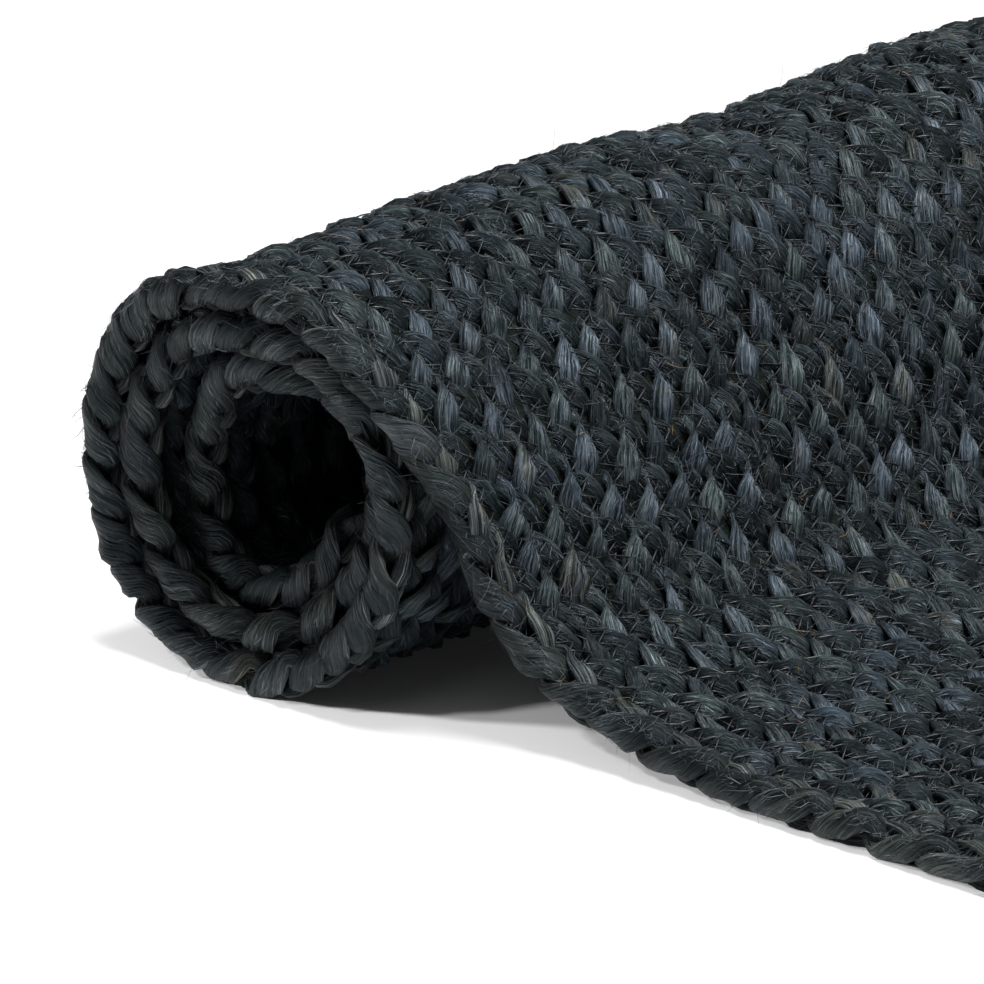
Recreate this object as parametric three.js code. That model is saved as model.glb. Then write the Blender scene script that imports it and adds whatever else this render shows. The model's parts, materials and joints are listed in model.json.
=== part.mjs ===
// Braided jute rug, partly rolled up and partly lying flat.
// Units are millimetres, +Z is up, and the floor is z = 0.
// The braids run along the rug's length, which is also the direction of rolling.
import * as THREE from "three";

// Rug sizes, laid out flat
const RUG_WIDTH = 600;
const RUG_LENGTH = 900;
const THICKNESS = 7.6;
const BRAID_WIDTH = 9;
const PIECE_GAP = 0.4;

// Leaves of the braids along the rim: each is one strand crossing over
const LEAF_PITCH = 11.4;
const RINGS_PER_LEAF = 3;
const BRAID_SIDES = 8;
const LEAF_DEPTH = 0.16;
const LEAF_SLANT = 0.55;

// Middle of the roll
const ROLL_X = -1.0;
const ROLL_Z = 44.4;
const TURN_STEP = 10;

// The wound part, from the rug's inner end to the top of the roll.
// turn: degrees round the roll, radius: to the middle of the sheet,
// recess: how far the front edge sits back from the roll's end
const WINDINGS = [
  { turn: 1070, radius: 22.2, recess: 12 },
  { turn: 1055, radius: 23.2, recess: 9 },
  { turn: 1035, radius: 24.0, recess: 6 },
  { turn: 990, radius: 24.2, recess: 6.5 },
  { turn: 940, radius: 24.0, recess: 10 },
  { turn: 907, radius: 22.6, recess: 12 },
  { turn: 870, radius: 20.5, recess: 10 },
  { turn: 816, radius: 22.8, recess: 5.5 },
  { turn: 780, radius: 25.6, recess: 10 },
  { turn: 753, radius: 27.2, recess: 15 },
  { turn: 720, radius: 30.0, recess: 13 },
  { turn: 690, radius: 32.4, recess: 7 },
  { turn: 630, radius: 32.4, recess: 0.5 },
  { turn: 590, radius: 32.4, recess: 1 },
  { turn: 545, radius: 32.6, recess: 3 },
  { turn: 500, radius: 31.6, recess: 2.5 },
  { turn: 450, radius: 31.8, recess: 1.5 },
  { turn: 405, radius: 35.0, recess: 6 },
  { turn: 370, radius: 38.6, recess: 5 },
  { turn: 345, radius: 40.4, recess: 3 },
  { turn: 315, radius: 41.2, recess: 1 },
  { turn: 270, radius: 40.8, recess: 0 },
  { turn: 225, radius: 41.6, recess: 0 },
  { turn: 180, radius: 41.0, recess: 0 },
  { turn: 90, radius: 41.0, recess: 1 },
];

// The sheet from the roll's top down to the floor.
// along: x of the sheet's middle, height: z of its middle, recess: as above
const RUN_OUT = [
  { along: 15.3, height: 84.2, recess: 1.7 },
  { along: 25.3, height: 79.6, recess: 2.5 },
  { along: 33.2, height: 73.3, recess: 3.8 },
  { along: 39.5, height: 66.6, recess: 5.5 },
  { along: 44.8, height: 59.4, recess: 7.4 },
  { along: 50.1, height: 51.7, recess: 9.5 },
  { along: 54.3, height: 43.0, recess: 11.6 },
  { along: 58.2, height: 33.6, recess: 13.7 },
  { along: 63.6, height: 25.0, recess: 15.5 },
  { along: 71.7, height: 17.2, recess: 17.2 },
  { along: 83.4, height: 11.8, recess: 18.5 },
  { along: 97.9, height: 8.1, recess: 19.3 },
  { along: 114, height: 5.4, recess: 19.7 },
  { along: 132, height: 4.1, recess: 19.8 },
  { along: 150, height: 3.8, recess: 19.8 },
];

// Low swellings of the sheet on the roll's top, as a real roll is not even.
// from_edge: distance from the front edge, lift: how far the sheet stands out there
const SWELLINGS = [
  { from_edge: 0, lift: 0.1 },
  { from_edge: 25, lift: -0.8 },
  { from_edge: 50, lift: 0.2 },
  { from_edge: 85, lift: 1.8 },
  { from_edge: 120, lift: 1.7 },
  { from_edge: 160, lift: -0.6 },
  { from_edge: 215, lift: 3.4 },
  { from_edge: 330, lift: 1.8 },
  { from_edge: 450, lift: 0.4 },
  { from_edge: 600, lift: 0 },
];
const SWELLING_REACH = 75;

// How finely the sheet is divided
const BENT_STEP = 6;
const FLAT_STEP = 20;

// Cubic through the rows of a table: the value of one column at a position of another
function columnAt(rows, key, column, position) {
  const last = rows.length - 1;
  const falling = rows[0][key] > rows[last][key];
  let row = 0;
  while (row < last - 1 && (falling ? position < rows[row + 1][key] : position > rows[row + 1][key])) {
    row += 1;
  }
  const slopeAt = (i) => {
    const before = rows[Math.max(i - 1, 0)];
    const after = rows[Math.min(i + 1, last)];
    return (after[column] - before[column]) / (after[key] - before[key]);
  };
  const start = rows[row];
  const end = rows[row + 1];
  const span = end[key] - start[key];
  const t = THREE.MathUtils.clamp((position - start[key]) / span, 0, 1);
  return (
    start[column] * (2 * t ** 3 - 3 * t ** 2 + 1) +
    end[column] * (3 * t ** 2 - 2 * t ** 3) +
    slopeAt(row) * span * (t ** 3 - 2 * t ** 2 + t) +
    slopeAt(row + 1) * span * (t ** 3 - t ** 2)
  );
}

// Middle line of the sheet, seen from its front edge, from the inner end to the floor.
// Each point is x, z and the recess of the front edge.
function middleLine() {
  const points = [];
  const innerTurn = WINDINGS[0].turn;
  const outerTurn = WINDINGS[WINDINGS.length - 1].turn;
  for (let turn = innerTurn; turn >= outerTurn; turn -= TURN_STEP) {
    const angle = THREE.MathUtils.degToRad(turn);
    const radius = columnAt(WINDINGS, "turn", "radius", turn);
    const recess = columnAt(WINDINGS, "turn", "recess", turn);
    points.push(
      new THREE.Vector3(ROLL_X + radius * Math.cos(angle), ROLL_Z + radius * Math.sin(angle), recess),
    );
  }
  for (const row of RUN_OUT) {
    points.push(new THREE.Vector3(row.along, row.height, row.recess));
  }
  const landing = RUN_OUT[RUN_OUT.length - 1];
  points.push(new THREE.Vector3(landing.along + RUG_LENGTH, landing.height, landing.recess));
  return new THREE.CatmullRomCurve3(points, false, "centripetal").getPoints(points.length * 24);
}

const LINE = middleLine();
const LINE_LENGTHS = [0];
for (let i = 1; i < LINE.length; i += 1) {
  const step = Math.hypot(LINE[i].x - LINE[i - 1].x, LINE[i].y - LINE[i - 1].y);
  LINE_LENGTHS.push(LINE_LENGTHS[i - 1] + step);
}

// Point of the middle line at a length along it
function lineAt(length) {
  let i = 1;
  while (i < LINE.length - 1 && LINE_LENGTHS[i] < length) {
    i += 1;
  }
  const share = (length - LINE_LENGTHS[i - 1]) / (LINE_LENGTHS[i] - LINE_LENGTHS[i - 1]);
  return new THREE.Vector3().lerpVectors(LINE[i - 1], LINE[i], share);
}

// Length along the sheet at the top of the roll, and where it first lies flat
const floorRow = RUN_OUT[RUN_OUT.length - 1];
const topIndex = LINE.findLastIndex((point) => point.x < ROLL_X + 1 && point.y > ROLL_Z);
const floorIndex = LINE.findIndex((point) => point.x >= floorRow.along);
const TOP_LENGTH = LINE_LENGTHS[topIndex];
const FLAT_START = LINE_LENGTHS[floorIndex];

// Point of the rug: across from the front edge, along from the inner end, height over the sheet's middle
function rugPoint(across, along, height) {
  const middle = lineAt(along);
  const ahead = lineAt(along + 0.5);
  const behind = lineAt(along - 0.5);
  const run = Math.hypot(ahead.x - behind.x, ahead.y - behind.y);
  const normalX = -(ahead.y - behind.y) / run;
  const normalZ = (ahead.x - behind.x) / run;
  const nearTop = Math.max(0, 1 - ((along - TOP_LENGTH) / SWELLING_REACH) ** 2);
  const lift = columnAt(SWELLINGS, "from_edge", "lift", across) * nearTop ** 2;
  const out = height + lift;
  return new THREE.Vector3(
    middle.x + normalX * out,
    middle.z + across,
    Math.max(0, middle.y + normalZ * out),
  );
}

// Steps along the rug, close together where it bends
function stepsAlong(from, to) {
  const bentCount = Math.ceil((FLAT_START - from) / BENT_STEP);
  const flatCount = Math.ceil((to - FLAT_START) / FLAT_STEP);
  const steps = [];
  for (let i = 0; i < bentCount; i += 1) {
    steps.push(THREE.MathUtils.lerp(from, FLAT_START, i / bentCount));
  }
  for (let i = 0; i <= flatCount; i += 1) {
    steps.push(THREE.MathUtils.lerp(FLAT_START, to, i / flatCount));
  }
  return steps;
}

function closedGeometry(points, faces) {
  const geometry = new THREE.BufferGeometry().setFromPoints(points);
  geometry.setIndex(faces.flat());
  geometry.computeVertexNormals();
  return geometry;
}

// The field: a sheet of even thickness that follows the winding
function fieldGeometry() {
  const inset = BRAID_WIDTH + PIECE_GAP;
  const alongSteps = stepsAlong(inset, RUG_LENGTH - inset);
  const acrossSteps = SWELLINGS.map((row) =>
    THREE.MathUtils.clamp(row.from_edge, inset, RUG_WIDTH - inset));
  const columns = acrossSteps.length;
  const points = [];
  for (const along of alongSteps) {
    for (const height of [THICKNESS / 2, -THICKNESS / 2]) {
      for (const across of acrossSteps) {
        points.push(rugPoint(across, along, height));
      }
    }
  }
  const faces = [];
  const ring = columns * 2;
  const order = [];
  for (let j = 0; j < columns; j += 1) {
    order.push(j);
  }
  for (let j = columns - 1; j >= 0; j -= 1) {
    order.push(columns + j);
  }
  for (let i = 0; i < alongSteps.length - 1; i += 1) {
    for (let k = 0; k < ring; k += 1) {
      const a = i * ring + order[k];
      const b = i * ring + order[(k + 1) % ring];
      faces.push([a, a + ring, b], [b, a + ring, b + ring]);
    }
  }
  const lastRing = (alongSteps.length - 1) * ring;
  for (let j = 0; j < columns - 1; j += 1) {
    faces.push([j, j + 1, columns + j], [j + 1, columns + j + 1, columns + j]);
    faces.push([lastRing + j, lastRing + columns + j, lastRing + j + 1]);
    faces.push([lastRing + j + 1, lastRing + columns + j, lastRing + columns + j + 1]);
  }
  return closedGeometry(points, faces);
}

// A braid along a path: place(position, sideways, height) gives its points.
// The section swells and falls with each leaf, and the leaves lie aslant.
function braidGeometry(length, place) {
  const leaves = Math.round(length / LEAF_PITCH);
  const ringCount = leaves * RINGS_PER_LEAF + 1;
  const points = [];
  for (let i = 0; i < ringCount; i += 1) {
    const position = (length * i) / (ringCount - 1);
    for (let k = 0; k < BRAID_SIDES; k += 1) {
      const angle = (2 * Math.PI * k) / BRAID_SIDES;
      const phase = i / RINGS_PER_LEAF + LEAF_SLANT * Math.cos(angle);
      const swell = 1 - LEAF_DEPTH * (1 - Math.sin(Math.PI * (phase - Math.floor(phase))));
      const sideways = (BRAID_WIDTH / 2) * swell * Math.cos(angle);
      const height = (THICKNESS / 2) * swell * Math.sin(angle);
      points.push(place(position, sideways, height));
    }
  }
  const faces = [];
  for (let i = 0; i < ringCount - 1; i += 1) {
    for (let k = 0; k < BRAID_SIDES; k += 1) {
      const a = i * BRAID_SIDES + k;
      const b = i * BRAID_SIDES + ((k + 1) % BRAID_SIDES);
      faces.push([a, b, a + BRAID_SIDES], [b, b + BRAID_SIDES, a + BRAID_SIDES]);
    }
  }
  const lastRing = (ringCount - 1) * BRAID_SIDES;
  for (let k = 1; k < BRAID_SIDES - 1; k += 1) {
    faces.push([0, k + 1, k]);
    faces.push([lastRing, lastRing + k, lastRing + k + 1]);
  }
  return closedGeometry(points, faces);
}

const rug = new THREE.Group();
rug.name = "jute_rug";

function addMesh(name, geometry, color) {
  const material = new THREE.MeshStandardMaterial({ color, roughness: 0.95, metalness: 0 });
  material.name = name;
  const mesh = new THREE.Mesh(geometry, material);
  mesh.name = name;
  rug.add(mesh);
}

const middleOfRim = BRAID_WIDTH / 2;
const endBraidLength = RUG_WIDTH - 2 * (BRAID_WIDTH + PIECE_GAP);
const endBraidStart = BRAID_WIDTH + PIECE_GAP;

addMesh("braided_field", fieldGeometry(), 0x2e353a);
addMesh(
  "edge_braid_front",
  braidGeometry(RUG_LENGTH, (position, sideways, height) =>
    rugPoint(middleOfRim + sideways, position, height)),
  0x2b3235,
);
addMesh(
  "edge_braid_back",
  braidGeometry(RUG_LENGTH, (position, sideways, height) =>
    rugPoint(RUG_WIDTH - middleOfRim + sideways, position, height)),
  0x2b3235,
);
addMesh(
  "end_braid_inner",
  braidGeometry(endBraidLength, (position, sideways, height) =>
    rugPoint(endBraidStart + position, middleOfRim - sideways, height)),
  0x2b3235,
);
addMesh(
  "end_braid_outer",
  braidGeometry(endBraidLength, (position, sideways, height) =>
    rugPoint(endBraidStart + position, RUG_LENGTH - middleOfRim - sideways, height)),
  0x2b3235,
);


// The frame's origin is under the middle of the whole rug, on the floor
const extent = new THREE.Box3().setFromObject(rug);
const centre = extent.getCenter(new THREE.Vector3());
rug.position.set(-centre.x, -centre.y, -extent.min.z);

export default rug;
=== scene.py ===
"""A rug of sewn jute braids, partly rolled up, on a pale floor."""

import json
import math
from collections import namedtuple

import bpy
import numpy as np
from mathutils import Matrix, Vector
from mathutils.bvhtree import BVHTree
from bpy.props import FloatProperty, FloatVectorProperty, IntProperty, PointerProperty

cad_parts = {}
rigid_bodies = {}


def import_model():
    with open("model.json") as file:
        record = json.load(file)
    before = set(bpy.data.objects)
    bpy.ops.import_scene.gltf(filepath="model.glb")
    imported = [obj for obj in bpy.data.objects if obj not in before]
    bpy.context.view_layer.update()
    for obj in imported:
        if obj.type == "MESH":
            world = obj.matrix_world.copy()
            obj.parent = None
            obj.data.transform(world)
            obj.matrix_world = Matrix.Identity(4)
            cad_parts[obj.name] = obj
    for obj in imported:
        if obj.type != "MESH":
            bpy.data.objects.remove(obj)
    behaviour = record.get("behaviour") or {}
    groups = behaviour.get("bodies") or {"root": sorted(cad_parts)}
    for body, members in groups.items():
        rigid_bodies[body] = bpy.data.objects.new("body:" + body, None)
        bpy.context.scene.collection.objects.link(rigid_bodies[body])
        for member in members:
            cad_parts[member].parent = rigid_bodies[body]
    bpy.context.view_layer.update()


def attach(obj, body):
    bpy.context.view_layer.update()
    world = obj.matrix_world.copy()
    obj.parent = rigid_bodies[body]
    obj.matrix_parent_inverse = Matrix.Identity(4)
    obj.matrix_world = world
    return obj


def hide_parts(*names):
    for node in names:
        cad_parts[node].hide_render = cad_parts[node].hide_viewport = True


for leftover in list(bpy.data.objects):
    bpy.data.objects.remove(leftover)
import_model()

bl_info = {
    "name": "Braided jute rug",
    "version": (1, 0, 0),
    "blender": (4, 5, 0),
    "location": "View3D > Sidebar > Rug",
    "description": "Builds a partly rolled rug of sewn jute braids on a pale floor",
    "category": "Add Mesh",
}

MM = 0.001
TAU = 2 * math.pi

# Where the front edge's line is measured from, in the frame (millimetres)
LINE_ORIGIN = (-134.79, -309.87)
ROLL_MIDDLE = (-1.0, 44.4)

# The wound part, from the inner end to the roll's top (millimetres, degrees)
WINDINGS = {
    "turn": [1070, 1055, 1035, 990, 940, 907, 870, 816, 780, 753, 720, 690, 630, 590,
             545, 500, 450, 405, 370, 345, 315, 270, 225, 180, 90],
    "radius": [22.2, 23.2, 24.0, 24.2, 24.0, 22.6, 20.5, 22.8, 25.6, 27.2, 30.0, 32.4, 32.4, 32.4,
               32.6, 31.6, 31.8, 35.0, 38.6, 40.4, 41.2, 40.8, 41.6, 41.0, 41.0],
    "recess": [12, 9, 6, 6.5, 10, 12, 10, 5.5, 10, 15, 13, 7, 0.5, 1,
               3, 2.5, 1.5, 6, 5, 3, 1, 0, 0, 0, 1],
}

# The sheet from the roll's top down to the floor (millimetres)
RUN_OUT = {
    "along": [15.3, 25.3, 33.2, 39.5, 44.8, 50.1, 54.3, 58.2, 63.6, 71.7, 83.4, 97.9, 114, 132, 150],
    "height": [84.2, 79.6, 73.3, 66.6, 59.4, 51.7, 43.0, 33.6, 25.0, 17.2, 11.8, 8.1, 5.4, 4.1, 3.8],
    "recess": [1.7, 2.5, 3.8, 5.5, 7.4, 9.5, 11.6, 13.7, 15.5, 17.2, 18.5, 19.3, 19.7, 19.8, 19.8],
}

# Low swellings on the roll's top, from the front edge to the back one (millimetres)
SWELLINGS = {
    "from_edge": [0, 25, 50, 85, 120, 160, 215, 330, 450, 600],
    "lift": [0.1, -0.8, 0.2, 1.8, 1.7, -0.6, 3.4, 1.8, 0.4, 0],
}
SWELLING_REACH = 75

# How long the leaves of the front edge braid are along the windings, and below 90 on the way
# down to the floor (degrees, millimetres)
EDGE_LEAVES = {
    "turn": [0, 36, 50, 90, 400, 450, 510, 550, 590, 640, 700, 1070],
    "pitch": [15.5, 14.5, 11.5, 11.2, 11.0, 9.6, 10.0, 13.0, 16.0, 14.5, 12.0, 12.0],
}

# How finely the sheet's own line is divided (degrees, points in each span of the tables above), and
# where it ends past the rug (millimetres)
TURN_STEP = 10.0
SPAN_POINTS = 40
LINE_END = 1000.0

# From this square of its rise for each length on, the sheet counts as steep
STEEP = 0.6

# What is hidden and what is seen from close by, along the rug from the roll's top, and across it from
# the front edge (metres, rows)
HIDDEN_BEFORE = 0.205
CLOSE_BEFORE = 0.075
CLOSE_REACH = 0.236
CLOSE_ROWS = 26

# Steps from one ring of a strand to the next (metres); the front edge's are for its wound part, the
# part seen from close by and the rest
EDGE_STEPS = (0.0016, 0.0014, 0.0025)
HIDDEN_STEP = 0.0068
CLOSE_STEP = 0.0017
NEAR_ROW_STEP = 0.0031
FAR_ROW_STEP = 0.0035

# Threads and hairs: sides, how deep one lies in what it lies on (share of its thickness), how deep a
# stitch ends, how far a fibre follows a dip, and how far in from the rug's rim things start (metres)
HAIR_SIDES = 3
SUNK = 0.3
STITCH_SINK = 0.0003
MOST_DROP = 0.0008
RIM = 0.002

# How far before the roll's top the near seams, the frayed fibres and all that is seen from farther off
# start, and how far past it the frayed fibres reach (metres)
SEAM_START = 0.07
FUZZ_START = 0.08
FAR_START = 0.12
FUZZ_REACH = 0.265

# The front edge braid's radius, and one that is clear of it (metres)
EDGE_ROUND = 0.0048
EDGE_CLEAR = 0.0085

# Square lamps that light only the rug, and only the floor (metres, watts)
Lamp = namedtuple("Lamp", "name place aim side watts shadows", defaults=(True,))
RUG_LAMPS = (
    Lamp("from_above", (0.10, 0.10, 1.8), (0.0, -0.15, 0.0), 0.5, 42.0),
    Lamp("from_front", (0.45, -0.47, 1.6), (-0.1, -0.3, 0.0), 0.25, 7.5),
    Lamp("from_right", (1.3, 0.1, 0.9), (0.0, -0.15, 0.0), 0.5, 14.0),
)
FLOOR_LAMPS = (
    Lamp("floor_low", (-1.44, -1.51, 0.55), (-0.1, -0.31, 0.0), 0.15, 73.0),
    Lamp("floor_front", (-0.45, -1.6, 1.5), (-0.1, -0.31, 0.0), 0.2, 22.0),
    Lamp("floor_above", (-0.1, -0.3, 1.9), (-0.1, -0.3, 0.0), 0.5, 42.0),
    Lamp("floor_fill", (-0.1, -0.8, 1.0), (-0.1, -0.3, 0.0), 1.0, 2.3, False),
)
SKY_STRENGTH = 0.09

# Width of the camera's sensor (millimetres)
SENSOR = 36.0


def metres(name, description, default):
    """Property for a length"""
    return FloatProperty(name=name, description=description, default=default, unit="LENGTH")


def whole(name, description, default):
    """Property for a count"""
    return IntProperty(name=name, description=description, default=default)


def slant(name, description, degrees):
    """Property for an angle"""
    return FloatProperty(name=name, description=description, default=math.radians(degrees),
                         subtype="ANGLE")


def paint(name, description, default):
    """Property for a colour"""
    return FloatVectorProperty(name=name, description=description, default=default, subtype="COLOR")


class RugSizes(bpy.types.PropertyGroup):
    """Sizes of the rug laid out flat, and of its braids, seams and loose fibres"""

    width: metres("Width", "Across the braids", 0.6)
    length: metres("Length", "Along the braids", 0.9)
    rows: whole("Rows", "Braids side by side, edges included", 66)
    leaf_pitch: metres("Leaf pitch", "From one leaf of a braid to the next on the same side", 0.0114)
    sway: metres("Sway", "How far a strand swings to each side of its braid", 0.0030)
    edge_sway: metres("Edge sway", "The same for the braids along the long edges", 0.0026)
    rise: metres("Rise", "How far a strand climbs over the others", 0.0019)
    strand_width: metres("Strand width", "Width of a flattened strand", 0.0066)
    strand_height: metres("Strand height", "Thickness of a flattened strand", 0.0036)
    edge_width: metres("Edge strand width", "Width of a strand along the long edges", 0.0074)
    edge_height: metres("Edge strand height", "Thickness of a strand along the long edges", 0.0037)
    tip: FloatProperty(name="Tip", default=0.5,
                       description="Share of its thickness that a strand keeps at the braid's side")
    tilt: slant("Tilt", "How far a braid's back side lies over the next row", 25)
    edge_tilt: slant("Edge tilt", "The same for the braids along the long edges", 5)
    stitch_pitch: metres("Stitch pitch", "One full zigzag along a seam", 0.0046)
    stitch_reach: metres("Stitch reach", "Zigzag to each side of a seam", 0.0021)
    thread: metres("Thread", "Sewing thread's thickness", 0.00042)
    core: metres("Core", "Packed middle of the braids", 0.0012)
    hairs: whole("Hairs", "Loose fibres that stand out", 1600)
    hair_length: metres("Hair length", "Longest loose fibre", 0.013)
    hair: metres("Hair", "Loose fibre's thickness", 0.00013)
    fuzz: whole("Frayed fibres", "Curved fibres over the seams", 5000)
    edge_fuzz: whole("Edge fibres", "Fine fibres that hug the front edge", 700)
    short_fuzz: whole("Short fibres", "Straight short fibres over the seams", 17000)
    fuzz_hair: metres("Frayed fibre", "Frayed fibre's thickness", 0.00015)
    seed: whole("Seed", "Start of the chance in the braids", 7)


class RugColours(bpy.types.PropertyGroup):
    """Dyed jute colours"""

    blue: paint("Blue-grey", "Most strands", (0.0125, 0.0225, 0.0340))
    green: paint("Green-black", "Darker strands", (0.0085, 0.0150, 0.0128))
    brown: paint("Brown", "Strands that took less dye", (0.0290, 0.0270, 0.0180))
    pale: paint("Pale fibre", "Fibres that catch the light", (0.222, 0.258, 0.282))
    thread: paint("Thread", "Sewing thread", (0.025, 0.030, 0.037))
    straw: paint("Straw", "A few undyed fibres", (0.30, 0.17, 0.075))
    floor: paint("Floor", "Pale floor", (0.60, 0.60, 0.60))


class RugStage(bpy.types.PropertyGroup):
    """Camera and floor"""

    azimuth: FloatProperty(name="Azimuth", description="Degrees round from the front", default=44.32)
    elevation: FloatProperty(name="Elevation", description="Degrees above the floor", default=18.82)
    distance: metres("Distance", "Camera to target", 2.165)
    picture: metres("Picture width", "What the picture spans at the target", 0.2013)
    target: FloatVectorProperty(name="Target", description="Point in the picture's middle",
                                default=(-0.0968, -0.2718, 0.0432))
    floor_side: metres("Floor", "Side of the floor", 8.0)


# ---------------------------------------------------------------- shapes


def column_at(table, key, column, position):
    """Smooth value of one column of a table at positions of another."""
    order = np.argsort(table[key])
    knots, values = (np.array(table[name], float)[order] for name in (key, column))
    slopes = np.empty_like(values)
    slopes[1:-1] = (values[2:] - values[:-2]) / (knots[2:] - knots[:-2])
    slopes[0] = (values[1] - values[0]) / (knots[1] - knots[0])
    slopes[-1] = (values[-1] - values[-2]) / (knots[-1] - knots[-2])
    row = np.clip(np.searchsorted(knots, position, side="right") - 1, 0, len(knots) - 2)
    span = knots[row + 1] - knots[row]
    t = np.clip((position - knots[row]) / span, 0, 1)
    return (values[row] * (2 * t**3 - 3 * t**2 + 1) + values[row + 1] * (3 * t**2 - 2 * t**3)
            + slopes[row] * span * (t**3 - 2 * t**2 + t) + slopes[row + 1] * span * (t**3 - t**2))


def smooth_line(points, per_span):
    """Centripetal curve through the points, as many rows of points as asked in each span."""
    before = np.vstack([2 * points[0] - points[1], points[:-1]])
    after = np.vstack([points[1:], 2 * points[-1] - points[-2]])
    out = []
    for i in range(len(points) - 1):
        level = [before[i], points[i], points[i + 1], after[i + 1]]
        steps = [max(np.linalg.norm(b - a), 1e-9) ** 0.5 for a, b in zip(level, level[1:])]
        knots = np.cumsum([0.0] + steps)
        t = np.linspace(knots[1], knots[2], per_span, endpoint=False)[:, None]
        for past, first in ((1, 0), (2, 0), (1, 1)):
            level = [(level[k] * (knots[first + k + past] - t) + level[k + 1] * (t - knots[first + k]))
                     / (knots[first + k + past] - knots[first + k]) for k in range(len(level) - 1)]
        out.append(level[0])
    return np.vstack(out + [points[-1:]])


def wander(chance, along, pitch, size):
    """Smooth random drift along a braid, with a new value about every pitch."""
    count = int((along.max() - along.min()) / pitch) + 3
    knots = chance.normal(0, size, count)
    place = (along - along.min()) / pitch
    low = place.astype(int)
    t = place - low
    t = t * t * (3 - 2 * t)
    return knots[low] * (1 - t) + knots[low + 1] * t


def cross_way(run):
    """The way across the rug, at every point of run."""
    return np.broadcast_to([0.0, 1.0, 0.0], run.shape)


class RugSheet:
    """Where a point of the flat rug lies once the rug is rolled. All in metres."""

    def __init__(self, sizes):
        self.length = sizes.length
        self.pitch = sizes.width / sizes.rows
        turns = np.arange(WINDINGS["turn"][0], WINDINGS["turn"][-1] - 1, -TURN_STEP)
        radius = column_at(WINDINGS, "turn", "radius", turns)
        recess = column_at(WINDINGS, "turn", "recess", turns)
        bearing = np.radians(turns)
        wound = np.stack([ROLL_MIDDLE[0] + radius * np.cos(bearing),
                          ROLL_MIDDLE[1] + radius * np.sin(bearing), recess], -1)
        run = np.stack([RUN_OUT["along"], RUN_OUT["height"], RUN_OUT["recess"]], -1).astype(float)
        end = run[-1:] + [[LINE_END, 0, 0]]
        line = smooth_line(np.vstack([wound, run, end]), SPAN_POINTS) * MM
        self.line = line
        step = np.hypot(*np.diff(line[:, :2], axis=0).T)
        self.reach = np.concatenate([[0], np.cumsum(step)])
        heading = np.gradient(line[:, :2], self.reach, axis=0)
        heading /= np.linalg.norm(heading, axis=1)[:, None]
        self.heading = heading
        before_top = (line[:, 0] < (ROLL_MIDDLE[0] + 1) * MM) & (line[:, 1] > ROLL_MIDDLE[1] * MM)
        self.top = self.reach[np.where(before_top)[0][-1]]
        last_turn = SPAN_POINTS * (len(turns) - 1)
        on_floor = last_turn + SPAN_POINTS * len(run)
        self.turn = np.interp(np.arange(len(line)), [0, last_turn, on_floor], [turns[0], turns[-1], 0])

    def at(self, across, along):
        """Middle of the sheet, the way it runs and the way it faces, at points of the flat rug."""
        across, along = np.broadcast_arrays(np.asarray(across, float), np.asarray(along, float))
        x, z, recess, run_x, run_z = (
            np.interp(along, self.reach, column) for column in (*self.line.T, *self.heading.T))
        size = np.hypot(run_x, run_z)
        run_x, run_z = run_x / size, run_z / size
        near_top = np.clip(1 - ((along - self.top) / (SWELLING_REACH * MM)) ** 2, 0, None) ** 2
        lift = column_at(SWELLINGS, "from_edge", "lift", across / MM) * MM * near_top
        middle = np.stack([x - run_z * lift + LINE_ORIGIN[0] * MM,
                           recess + across + LINE_ORIGIN[1] * MM,
                           z + run_x * lift], -1)
        run = np.stack([run_x, np.zeros_like(run_x), run_z], -1)
        out = np.stack([-run_z, np.zeros_like(run_x), run_x], -1)
        return middle, run, out

    def place(self, across, along, height):
        """Points at a height over the sheet's middle, never under the floor."""
        middle, _, out = self.at(across, along)
        points = middle + out * np.asarray(height, float)[..., None]
        points[..., 2] = np.maximum(points[..., 2], 0.0)
        return points

    def steepness(self, along):
        """0 where the sheet lies flat, 1 where it runs steeply down or up."""
        return np.clip(np.interp(along, self.reach, self.heading[:, 1]) ** 2 / STEEP, 0, 1)

    def edge_swing(self, along):
        """Phase of the front edge braid, whose leaves are longer in some places than in others."""
        turn = np.interp(along, self.reach, self.turn)
        pitch = np.interp(turn, EDGE_LEAVES["turn"], EDGE_LEAVES["pitch"]) * MM
        step = np.diff(along) / (3 * 0.5 * (pitch[1:] + pitch[:-1]))
        return TAU * np.concatenate([[0], np.cumsum(step)])

    def seen_to(self, across):
        """Length along the sheet at which a row leaves the part that is looked at from close by."""
        past = (self.reach > self.top) & (self.line[:, 0] + self.line[:, 2] + across > CLOSE_REACH)
        return min(self.reach[past.argmax()] if past.any() else self.length, self.length)


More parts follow.
